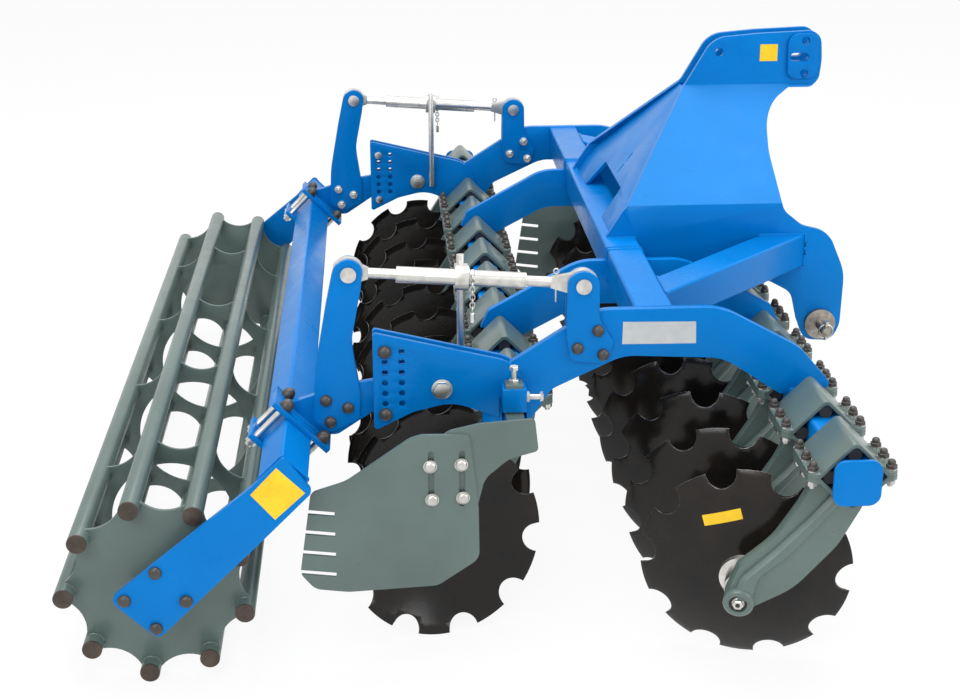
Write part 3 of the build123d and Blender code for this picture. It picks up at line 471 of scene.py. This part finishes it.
ROLLER_SIDE_BOLTS = ((-1.285, 0.329), (-1.365, 0.255), (-1.214, 0.249), (-1.292, 0.176))
side_bolts = Piece()
for side in (1, -1):
    for x, z in ROLLER_SIDE_BOLTS:
        add_dome(side_bolts, at(x, side * ROLLER_SIDE_FACE, z), (0, side, 0), 0.0165, 0.013, 1)
side_bolts.make("roller_side_bolts", "roller_frame", [zinc, cap_plastic])

# Deflector bolts: bright domes outside, nuts inside
DEFLECTOR_BOLTS = ((-0.606, 0.555), (-0.529, 0.558), (-0.602, 0.465), (-0.525, 0.468))
deflector_bolts = Piece()
for side, forward in ((-1, 0.0), (1, 2 * BEAM_X)):
    for count, (x, z) in enumerate(DEFLECTOR_BOLTS):
        outer = at(x + forward, side * (DEFLECTOR_Y + DEFLECTOR_THICK / 2), z)
        inner = at(x + forward, side * (DEFLECTOR_Y - 1.5 * DEFLECTOR_THICK), z)
        add_dome(deflector_bolts, outer, (0, side, 0), 0.0145, 0.009, 0, washer=0)
        add_nut(deflector_bolts, inner, (0, -side, 0), count)
deflector_bolts.make("deflector_bolts", "frame", [zinc])


# Dark caps over the near stop bolts
STOP_X = -0.712
STOP_HEIGHTS = (0.787, 0.6172)
PIVOT_PLATE = 0.012
CAP_RADIUS = 0.0172
STOP_CAP = 0.0165
CLAMP_CAP = 0.027
SCREW_LENGTH = 0.045
stop_caps = Piece()
for z in STOP_HEIGHTS:
    add_dome(stop_caps, at(STOP_X, -SIDE_OUTER - PIVOT_PLATE, z), (0, -1, 0), CAP_RADIUS, STOP_CAP)
stop_caps.make("stop_bolt_caps", "frame", [cap_plastic])

# Dark caps over the nuts on the arms' side of the roller's clamps
CROSS_TUBE_AT = (-0.965, 0.562)
CROSS_TUBE_HALF = 0.045
CLAMP_PLATE = 0.014
CLAMP_ROD_OUT = 0.018
CLAMP_ROD_X = CROSS_TUBE_HALF + CLAMP_ROD_OUT
CLAMP_ROD_Y = 0.04
SLANT = math.sqrt(0.5)
clamp_caps = Piece()
for side in (1, -1):
    for along in (-CLAMP_ROD_X, CLAMP_ROD_X):
        for y in (-CLAMP_ROD_Y, CLAMP_ROD_Y):
            out = CROSS_TUBE_HALF + CLAMP_PLATE
            x = CROSS_TUBE_AT[0] + (out + along) * SLANT
            z = CROSS_TUBE_AT[1] + (out - along) * SLANT
            place = at(x, side * SIDE_Y + y, z)
            add_dome(clamp_caps, place, (1, 0, 1), CAP_RADIUS, CLAMP_CAP)
clamp_caps.make("roller_clamp_caps", "roller_frame", [cap_plastic])

# A hexagon bolt in the recess of each disc's boss
boss_bolts = Piece()
for count, joint in enumerate(disc_joints.values()):
    axis = Vector(joint["axis"]).normalized()
    matrix = facing(Vector(joint["pos_m"]) + axis * BOSS_FLOOR, axis, count)
    boss_bolts.add(lathe([(0.0215, 0), (0.0215, 0.0012)], 24), matrix, 1)
    boss_bolts.add(lathe([(0.0155, 0.0012), (0.0155, 0.003)], 20), matrix, 0)
    boss_bolts.add(prism(6, 0.024, 0.003, 0.0125, 0.0012), matrix, 0)
    boss_bolts.add(lathe([(0.006, 0.0125), (0.006, 0.0129)], 16), matrix, 1)
boss_bolts.make("boss_bolts", "frame", [zinc, rubber])

# Set screws that hold the deflectors' stems in their sockets
STEM_X = -0.385
STEM_TOP = 0.707
SOCKET_Z = 0.668
SOCKET_HALF = 0.0308
STEM_Y = SIDE_OUTER + PIVOT_PLATE + SOCKET_HALF


def add_screw(piece, place, direction, length):
    """A hexagon bolt that stands out of its lock nut."""
    matrix = facing(place, direction, 0.3)
    piece.add(prism(6, 0.024, 0, 0.01, 0.001), matrix)
    piece.add(lathe([(0.0075, 0.01), (0.0075, length - 0.009)], 16), matrix)
    piece.add(prism(6, 0.022, length - 0.009, length, 0.001), matrix)


set_screws = Piece()
for side, forward in ((-1, 0.0), (1, 2 * BEAM_X)):
    stem_x, stem_y = STEM_X + forward, side * STEM_Y
    add_screw(set_screws, at(stem_x, stem_y, STEM_TOP), (0, 0, 1), SCREW_LENGTH)
    add_screw(set_screws, at(stem_x + SOCKET_HALF, stem_y, SOCKET_Z), (1, 0, 0), SCREW_LENGTH)
set_screws.make("set_screws", "frame", [zinc])

# Linch pins through the ends of the lower hitch pins
LOWER_PIN_X = 0.59
LOWER_PIN_Z = 0.602
SHOULDER_Y = 0.4395
LOWER_PIN_LENGTH = 0.078
LINCH_FROM_END = 0.014
LINCH_Y = SHOULDER_Y + LOWER_PIN_LENGTH - LINCH_FROM_END
LINCH_PROFILE = [(0.0052, -0.026), (0.0052, 0.022), (0.008, 0.023), (0.008, 0.031)]
LINCH_HOOP = (0.0205, 0.0026)
linch_pins = Piece()
for side in (1, -1):
    place = at(LOWER_PIN_X, side * LINCH_Y, LOWER_PIN_Z)
    linch_pins.add(lathe(LINCH_PROFILE, 14), Matrix.Translation(place))
    hoop = Matrix.Translation(place) @ Matrix.Rotation(math.pi / 2, 4, "X")
    linch_pins.add(ring(*LINCH_HOOP, 28, 8), hoop)
linch_pins.make("linch_pins", "frame", [zinc])

# Spindles: a safety chain at the ratchet and a spring pin through the front stud
FRONT_PIN = (-0.207, 0.95)
REAR_PIN = (-0.798, 0.993)
SPAN = math.hypot(REAR_PIN[0] - FRONT_PIN[0], REAR_PIN[1] - FRONT_PIN[1])
CHAIN_AT = 0.282
CLIP_AT = 0.068
TUBE_OUT = 0.021
LINKS = 10
LINK_DROP = 0.0105
LINK_STRETCH = 1.25
CHAIN_TOP = 0.02
CHAIN_OUT = TUBE_OUT + 0.0035
WEIGHT_DROP = 0.012
WEIGHT_PROFILE = [(0.004, -0.014), (0.0065, -0.012), (0.0065, 0.011), (0.004, 0.013)]
CLIP_PROFILE = [(0.0026, -0.052), (0.0026, 0.024)]
CLIP_EYE_UP = 0.029


def spindle_point(side, along, out, up=0.0):
    """A point beside a spindle: along it from its front pin, out from its middle and up."""
    share = along / SPAN
    x = FRONT_PIN[0] + (REAR_PIN[0] - FRONT_PIN[0]) * share
    z = FRONT_PIN[1] + (REAR_PIN[1] - FRONT_PIN[1]) * share
    return at(x, side * (SIDE_Y + out), z + up)


def spindle_trim(side, name):
    piece = Piece()
    link = ring(0.0062, 0.0017, 14, 6)
    for k in range(LINKS):
        place = spindle_point(side, CHAIN_AT, CHAIN_OUT, CHAIN_TOP - k * LINK_DROP)
        turn = Matrix.Rotation(math.pi / 2, 4, "X") @ Matrix.Rotation(math.pi / 2 * (k % 2), 4, "Y")
        piece.add(link, Matrix.Translation(place) @ turn @ Matrix.Diagonal((1, LINK_STRETCH, 1, 1)))
    weight = spindle_point(side, CHAIN_AT, CHAIN_OUT, CHAIN_TOP - LINKS * LINK_DROP - WEIGHT_DROP)
    piece.add(lathe(WEIGHT_PROFILE, 14), Matrix.Translation(weight))
    clip = Matrix.Translation(spindle_point(side, CLIP_AT, 0))
    piece.add(lathe(CLIP_PROFILE, 10), clip)
    eye = Matrix.Translation((0, 0, CLIP_EYE_UP)) @ Matrix.Rotation(math.pi / 2, 4, "X")
    piece.add(ring(0.0065, 0.002, 18, 6), clip @ eye)
    piece.make(f"spindle_trim_{name}", f"spindle_{name}", [zinc])


for side, name in ((1, "left"), (-1, "right")):
    spindle_trim(side, name)

# Weld beads
CROSS_X = -0.02
CROSS_Z = 0.83
CROSS_HALF = 0.05
INNER_Y = 0.54
MAST_Y = 0.42
MAST_HALF = 0.0075
BEAD = 0.0034
BEAD_OUT = 0.001
BRACE_BEAD = 1.15 * BEAD
BRACE_END_BEAD = 1.4 * BEAD
TUBE_BEAD = 0.9 * BEAD


def square_seam(piece, middle, half, y, turn=0.0):
    """A bead round a square tube that runs along Y, in the plane of one y."""
    corners = []
    for k in range(5):
        a = turn + math.pi / 4 + k * math.pi / 2
        reach = half * math.sqrt(2)
        corners.append(at(middle[0] + reach * math.cos(a), y, middle[1] + reach * math.sin(a)))
    for k, (a, b) in enumerate(zip(corners, corners[1:])):
        piece.add(bead(a, b, BEAD, y * 9 + k))


frame_welds = Piece()
for side in (1, -1):
    square_seam(frame_welds, (CROSS_X, CROSS_Z), CROSS_HALF, side * SIDE_INNER)
    for y in (INNER_Y - PLATE / 2, INNER_Y + PLATE / 2):
        square_seam(frame_welds, (CROSS_X, CROSS_Z), CROSS_HALF, side * y)
        for x in (BEAM_X, -BEAM_X):
            a = at(x - 0.038, side * y, BEAM_Z + 0.04)
            frame_welds.add(bead(a, a + Vector((0.076, 0, 0)), BEAD, y))
    square_seam(frame_welds, (-BEAM_X, BEAM_Z), 0.04, side * SIDE_INNER)
    for y in (MAST_Y - MAST_HALF, MAST_Y + MAST_HALF):
        front = at(CROSS_X + CROSS_HALF, side * y, CROSS_Z - CROSS_HALF)
        top = front + Vector((0, 0, 2 * CROSS_HALF))
        frame_welds.add(bead_along([front, top, top - Vector((0.084, 0, 0))], BEAD, y))
    for x in (-0.037, -0.023):
        a = at(x, side * 0.21, CROSS_Z + CROSS_HALF)
        frame_welds.add(bead(a, a + Vector((0, side * 0.2, 0)), BEAD, x * 50))
square_seam(frame_welds, (-BEAM_X, BEAM_Z), 0.04, SIDE_OUTER)
square_seam(frame_welds, (BEAM_X, BEAM_Z), 0.04, -SIDE_OUTER)

# The braces meet the mast's plates and the cross beam at a slant
BRACE_START = Vector((CROSS_X + CROSS_HALF, 0.88))
BRACE_END = Vector((0.462, MAST_Y + MAST_HALF))
brace_run = (BRACE_END - BRACE_START).normalized()
on_mast = CROSS_HALF / abs(brace_run.y)
on_beam = CROSS_HALF / abs(brace_run.x)
for side in (1, -1):
    for up in (-CROSS_HALF, CROSS_HALF):
        y = side * (BRACE_END.y + BEAD_OUT)
        ends = [at(BRACE_END.x + off, y, CROSS_Z + up) for off in (-on_mast, on_mast)]
        frame_welds.add(bead(*ends, BRACE_BEAD, up * 90))
        ends = [at(BRACE_START.x, side * (BRACE_START.y + off), CROSS_Z + up) for off in (-on_beam, on_beam)]
        frame_welds.add(bead(*ends, BEAD, up * 70))
    for off in (-on_mast, on_mast):
        low = at(BRACE_END.x + off, side * (BRACE_END.y + BEAD_OUT), CROSS_Z - CROSS_HALF)
        frame_welds.add(bead(low, low + Vector((0, 0, 2 * CROSS_HALF)), BRACE_END_BEAD, off * 80))
frame_welds.make("frame_welds", "frame", [blue])

roller_frame_welds = Piece()
reach = (CROSS_TUBE_HALF + CLAMP_PLATE) * SLANT
for side in (1, -1):
    square_seam(roller_frame_welds, CROSS_TUBE_AT, CROSS_TUBE_HALF, side * ROLLER_SIDE_BACK, math.pi / 4)
    for y in (SIDE_Y - 0.0105, SIDE_Y + 0.0105):
        a = at(CROSS_TUBE_AT[0] + reach - 0.042, side * y, CROSS_TUBE_AT[1] + reach + 0.042)
        roller_frame_welds.add(bead(a, a + Vector((0.084, 0, -0.084)), BEAD, y * 5))
roller_frame_welds.make("roller_frame_welds", "roller_frame", [blue])

ROLLER_X = -1.295
ROLLER_Z = TUBE_CIRCLE / 2 * math.cos(ROLLER_TURN) + TUBE_RADIUS
END_Y = 1.3
END_HALF = 0.005
RING_HALF = 0.004
RINGS = 4
RING_STEP = 2 * END_Y / (RINGS + 0.25)
seam_places = [END_Y - END_HALF, -END_Y + END_HALF, END_Y + END_HALF, -END_Y - END_HALF]
for k in range(RINGS):
    middle = (k - (RINGS - 1) / 2) * RING_STEP
    seam_places += [middle - RING_HALF, middle + RING_HALF]
roller_welds = Piece()
for k in range(TUBES):
    seat = ROLLER_TURN - math.pi / 2 + k * 2 * math.pi / TUBES
    middle = (ROLLER_X + TUBE_CIRCLE / 2 * math.cos(seat), ROLLER_Z + TUBE_CIRCLE / 2 * math.sin(seat))
    for y in seam_places:
        arc = []
        for step in range(9):
            a = seat + math.pi + math.radians(-92 + 23 * step)
            arc.append(at(middle[0] + TUBE_RADIUS * math.cos(a), y, middle[1] + TUBE_RADIUS * math.sin(a)))
        roller_welds.add(bead_along(arc, TUBE_BEAD, k + y))
roller_welds.make("roller_welds", "roller", [grey])


# Blank labels
def film(name, corners, out, body, finish, thick=0.0004):
    """A thin label with four corners, raised off its plate along out."""
    piece = Piece()
    out = Vector(out).normalized()
    low = [Vector(c) for c in corners]
    high = [c + out * thick for c in low]
    faces = [(4, 5, 6, 7), (3, 2, 1, 0)] + [(k, (k + 1) % 4, (k + 1) % 4 + 4, k + 4) for k in range(4)]
    piece.add((low + high, faces))
    return piece.make(name, body, [finish])


BAR = ((-0.103, 0.849), (0.085, 0.846), (0.087, 0.787), (-0.104, 0.789))
film("arch_label", [at(x, -SIDE_OUTER, z) for x, z in BAR], (0, -1, 0), "frame", silver_film)
MAST_LABEL = ((0.455, 1.371), (0.509, 1.371), (0.509, 1.32), (0.455, 1.32))
MAST_TOP_FACE = 0.0465
mast_label = [at(x, -MAST_TOP_FACE, z) for x, z in MAST_LABEL]
film("mast_label", mast_label, (0, -1, 0), "frame", yellow)
SIDE_LABEL = ((-1.044, 0.531), (-0.979, 0.6), (-0.912, 0.532), (-0.987, 0.463))
side_label = [at(x, -ROLLER_SIDE_FACE, z) for x, z in SIDE_LABEL]
film("roller_side_label", side_label, (0, -1, 0), "roller_frame", yellow)


# A blank label on the nearest disc follows its dish
LABEL_MIDDLE = Vector((-0.151, -0.059))
LABEL_RUN = Vector((-0.32, 0.947)).normalized()
LABEL_HALF = (0.05, 0.0135)
LABEL_THICK = 0.0005


def disc_label(name):
    """A film on the dish, drawn from the disc's rim middle with X down and Z along the hub."""
    joint = disc_joints[name]
    out = Vector(joint["axis"]).normalized()
    down = Vector((0, 0, -1))
    down = (down - out * down.dot(out)).normalized()
    to_disc = Matrix((down, out.cross(down), out)).transposed().to_4x4()
    to_disc.translation = Vector(joint["pos_m"])
    rise = Vector((-LABEL_RUN.y, LABEL_RUN.x))
    columns, rows = 12, 3
    points, faces = [], []
    for thick in (0.0, LABEL_THICK):
        for i in range(columns + 1):
            for j in range(rows + 1):
                flat = LABEL_MIDDLE + LABEL_RUN * LABEL_HALF[0] * (2 * i / columns - 1)
                flat += rise * LABEL_HALF[1] * (2 * j / rows - 1)
                height = DISH_DEPTH - DISH_RADIUS + math.sqrt(DISH_RADIUS**2 - flat.length_squared)
                points.append((flat.x, flat.y, height + thick))
    layer = (columns + 1) * (rows + 1)
    for i in range(columns):
        for j in range(rows):
            a = i * (rows + 1) + j
            quad = (a, a + rows + 1, a + rows + 2, a + 1)
            faces.append(tuple(layer + v for v in quad))
            faces.append(tuple(reversed(quad)))
    rim = list(range(rows))
    rim += [i * (rows + 1) + rows for i in range(columns)]
    rim += [columns * (rows + 1) + rows - j for j in range(rows)]
    rim += [(columns - i) * (rows + 1) for i in range(columns)]
    for a, b in zip(rim, rim[1:] + rim[:1]):
        faces.append((b, a, layer + a, layer + b))
    piece = Piece()
    piece.add((points, faces), to_disc)
    piece.make("disc_label", name + "_body", [yellow])


disc_label("disc_front_01")


# The camera stands where the photograph was taken from
CAMERA_PLACE = (-0.277, -5.131, 2.245)
CAMERA_YAW = math.radians(3.62)
CAMERA_PITCH = math.radians(19.86)
CAMERA_ROLL = math.radians(-0.11)
camera_data = bpy.data.cameras.new("camera")
camera_data.lens = 63.31
camera_data.sensor_width = 36.0
camera = bpy.data.objects.new("camera", camera_data)
bpy.context.scene.collection.objects.link(camera)
look = Matrix.Rotation(-CAMERA_YAW, 4, "Z") @ Matrix.Rotation(math.pi / 2 - CAMERA_PITCH, 4, "X")
camera.matrix_world = Matrix.Translation(CAMERA_PLACE) @ look @ Matrix.Rotation(CAMERA_ROLL, 4, "Z")
bpy.context.scene.camera = camera


# Floor, world and lamps
GLOW_SHARE = 0.9
SKY_STRENGTH = 0.52


def seen_rays(tree):
    """1 for rays that show the background: from the camera, in a gloss or through glass."""
    path = tree.nodes.new("ShaderNodeLightPath")
    seen = path.outputs["Is Camera Ray"]
    for kind in ("Is Glossy Ray", "Is Transmission Ray"):
        either = tree.nodes.new("ShaderNodeMath")
        either.operation = "MAXIMUM"
        tree.links.new(seen, either.inputs[0])
        tree.links.new(path.outputs[kind], either.inputs[1])
        seen = either.outputs[0]
    return seen


def floor_material():
    """White in the picture and in reflections, but for the object's own shadow."""
    material, tree, shader = new_material("floor")
    shader.inputs["Base Color"].default_value = (0.9, 0.9, 0.9, 1)
    shader.inputs["Roughness"].default_value = 0.9
    glow = tree.nodes.new("ShaderNodeEmission")
    glow.inputs["Strength"].default_value = 1.0
    mix = tree.nodes.new("ShaderNodeMixShader")
    share = tree.nodes.new("ShaderNodeMath")
    share.operation = "MULTIPLY"
    share.inputs[1].default_value = GLOW_SHARE
    tree.links.new(seen_rays(tree), share.inputs[0])
    tree.links.new(share.outputs[0], mix.inputs["Fac"])
    tree.links.new(shader.outputs["BSDF"], mix.inputs[1])
    tree.links.new(glow.outputs["Emission"], mix.inputs[2])
    tree.links.new(mix.outputs["Shader"], tree.nodes["Material Output"].inputs["Surface"])
    return material


floor_mesh = bpy.data.meshes.new("floor")
SIZE = 60.0
FLOOR_DROP = 0.0005
floor_corners = [(x * SIZE, y * SIZE, 0) for x, y in ((-1, -1), (1, -1), (1, 1), (-1, 1))]
floor_mesh.from_pydata(floor_corners, [], [(0, 1, 2, 3)])
floor = bpy.data.objects.new("floor", floor_mesh)
floor.location.z = -FLOOR_DROP
floor_mesh.materials.append(floor_material())
bpy.context.scene.collection.objects.link(floor)

world = bpy.data.worlds.new("studio")
bpy.context.scene.world = world
world.use_nodes = True
tree = world.node_tree
soft = tree.nodes["Background"]
soft.inputs["Color"].default_value = (0.97, 0.985, 1.0, 1)
soft.inputs["Strength"].default_value = SKY_STRENGTH
white = tree.nodes.new("ShaderNodeBackground")
white.inputs["Strength"].default_value = 1.0
white.inputs["Color"].default_value = (1, 1, 1, 1)
choose = tree.nodes.new("ShaderNodeMixShader")
tree.links.new(seen_rays(tree), choose.inputs["Fac"])
tree.links.new(soft.outputs["Background"], choose.inputs[1])
tree.links.new(white.outputs["Background"], choose.inputs[2])
tree.links.new(choose.outputs["Shader"], tree.nodes["World Output"].inputs["Surface"])


def lamp(name, place, target, width, height, watts):
    data = bpy.data.lights.new(name, "AREA")
    data.shape = "RECTANGLE"
    data.size = width
    data.size_y = height
    data.energy = watts
    obj = bpy.data.objects.new(name, data)
    bpy.context.scene.collection.objects.link(obj)
    obj.location = place
    obj.rotation_euler = (Vector(target) - Vector(place)).to_track_quat("-Z", "Y").to_euler()


lamp("key", (-3.5, -7.5, 6.0), (0, 0, 0.5), 5.0, 3.5, 290)
lamp("top", (0.5, 0.5, 8.0), (0, 0, 0.5), 8.0, 8.0, 720)
lamp("fill", (6.0, -4.5, 3.5), (0, 0, 0.6), 4.0, 3.0, 150)

scene = bpy.context.scene
scene.view_settings.view_transform = "Standard"
